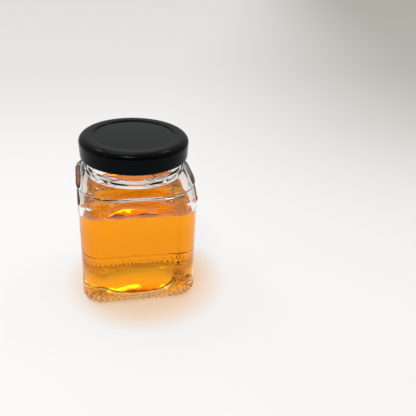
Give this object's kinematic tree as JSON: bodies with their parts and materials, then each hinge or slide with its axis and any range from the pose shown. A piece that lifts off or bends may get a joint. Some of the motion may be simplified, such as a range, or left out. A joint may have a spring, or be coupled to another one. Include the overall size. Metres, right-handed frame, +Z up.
{
  "type": "square honey jar",
  "caption": "Square clear glass jar with a round neck, part full of clear amber honey and shut with a black metal twist-off lid whose middle is sunk.",
  "frame": {"origin": "on the table under the middle of the base", "axes": "+Z up through the lid, with the flat walls of the jar facing along X and Y"},
  "size_m": [0.0718, 0.0718, 0.1],
  "materials": {
    "clear_glass": "clear and smooth",
    "honey": "clear amber liquid",
    "black_lacquer": "gloss black lacquer"
  },
  "bodies": {
    "root": {"glass_jar": "clear_glass", "honey": "honey", "lid": "black_lacquer"}
  },
  "joints": []
}
